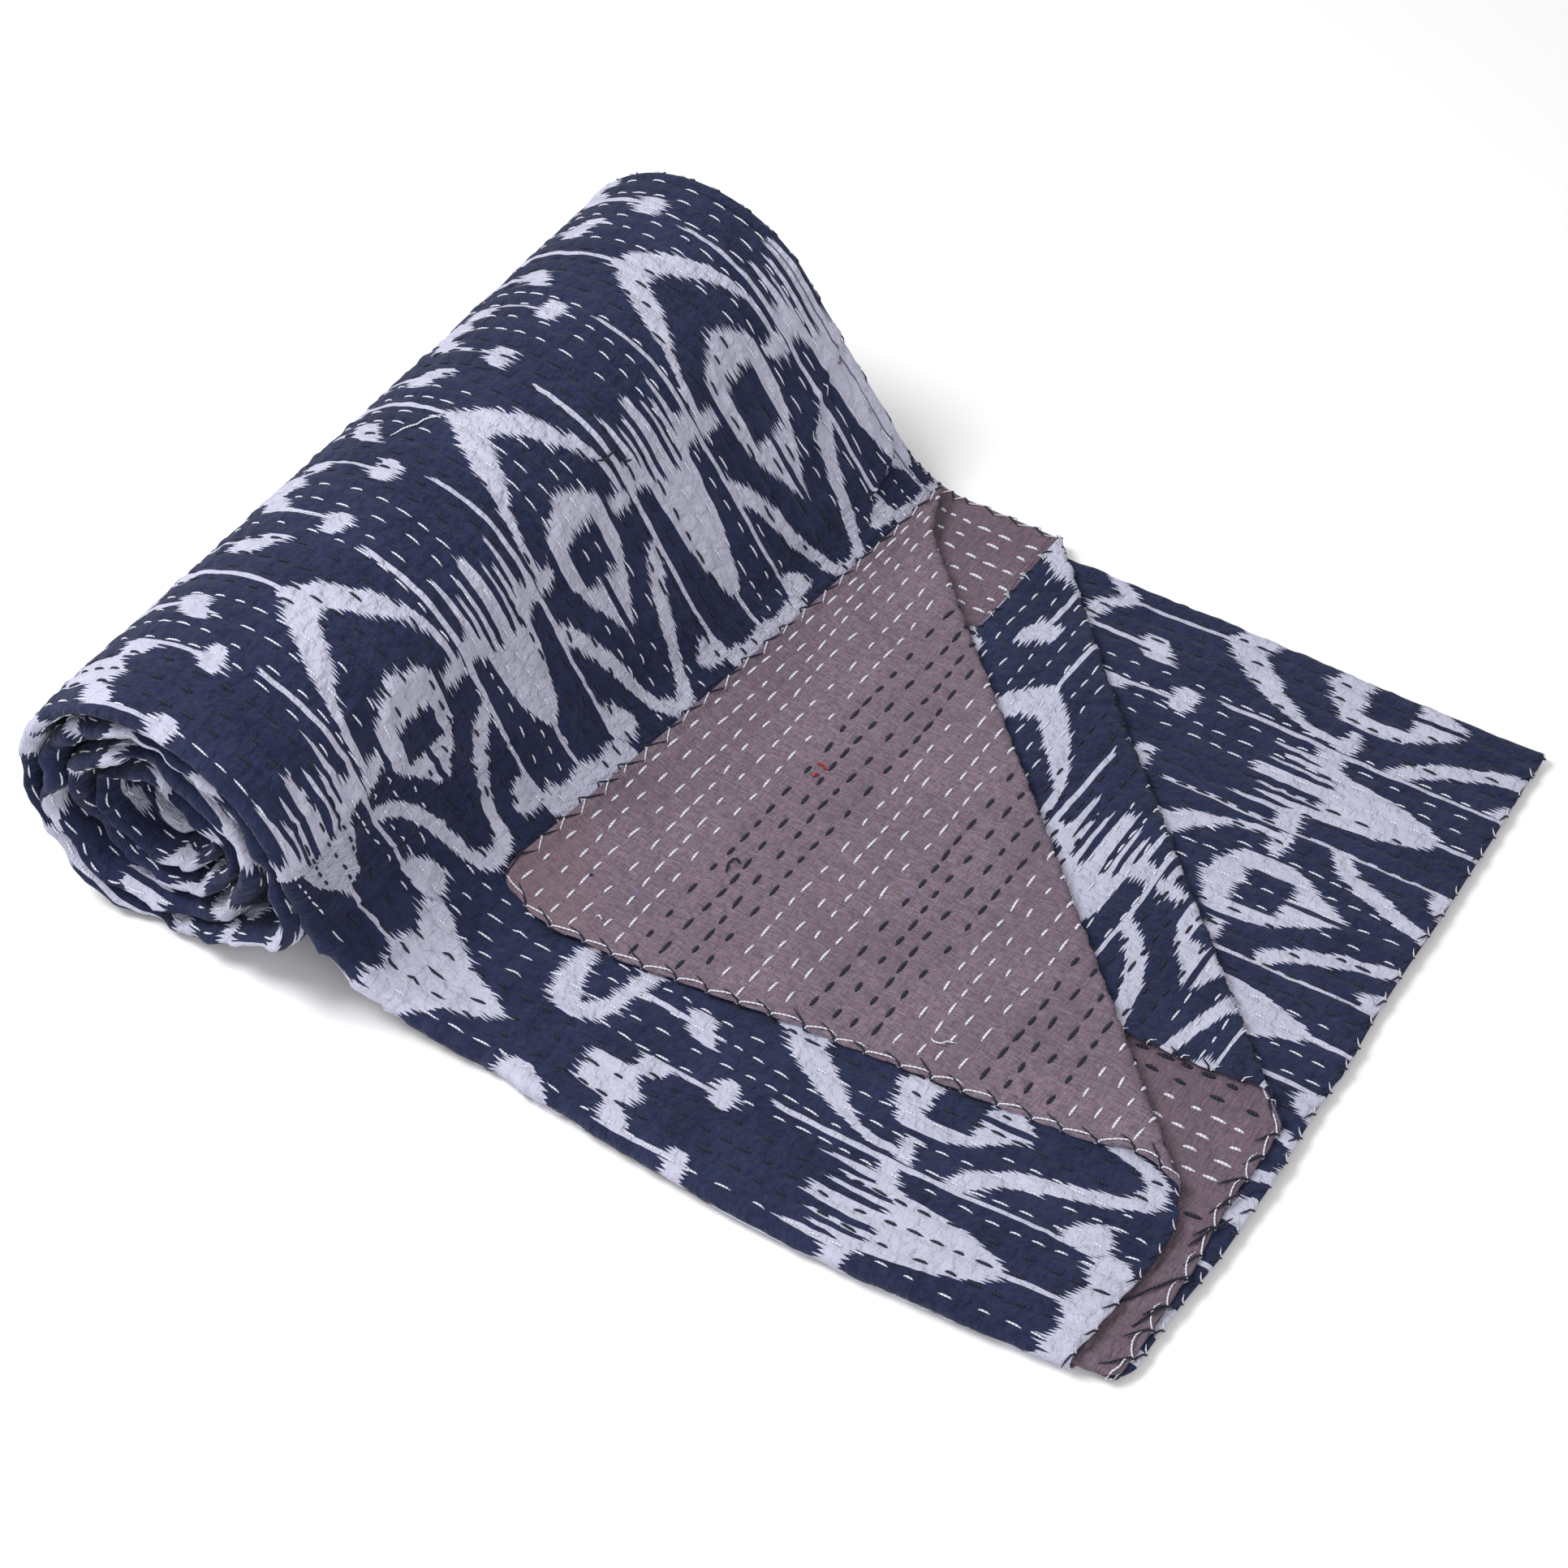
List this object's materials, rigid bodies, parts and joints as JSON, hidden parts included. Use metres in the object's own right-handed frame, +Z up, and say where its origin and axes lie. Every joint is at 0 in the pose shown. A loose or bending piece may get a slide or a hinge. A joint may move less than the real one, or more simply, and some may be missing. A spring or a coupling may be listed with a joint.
{
  "type": "kantha quilt",
  "caption": "Kantha quilt with a navy ikat print and mauve backing, folded lengthwise and rolled from one end, its loose end spread out with two corners turned back.",
  "frame": {"origin": "middle of the base of the whole bounding box, on the surface it lies on", "axes": "+Z up; the roll's axis lies along X at +Y, with the folded edge and its spiral end at -X; the loose end runs to -Y"},
  "size_m": [0.596, 0.7341, 0.1933],
  "materials": {
    "printed_cotton": "washed navy and pale lavender ikat-print cotton, puckered by hand running stitches",
    "mauve_cotton": "washed plain mauve cotton with an open visible weave",
    "light_thread": "soft off-white cotton thread",
    "dark_thread": "soft navy-black cotton thread"
  },
  "bodies": {
    "root": {"roll": "printed_cotton", "loose_face": "printed_cotton", "loose_backing": "mauve_cotton"}
  },
  "joints": []
}
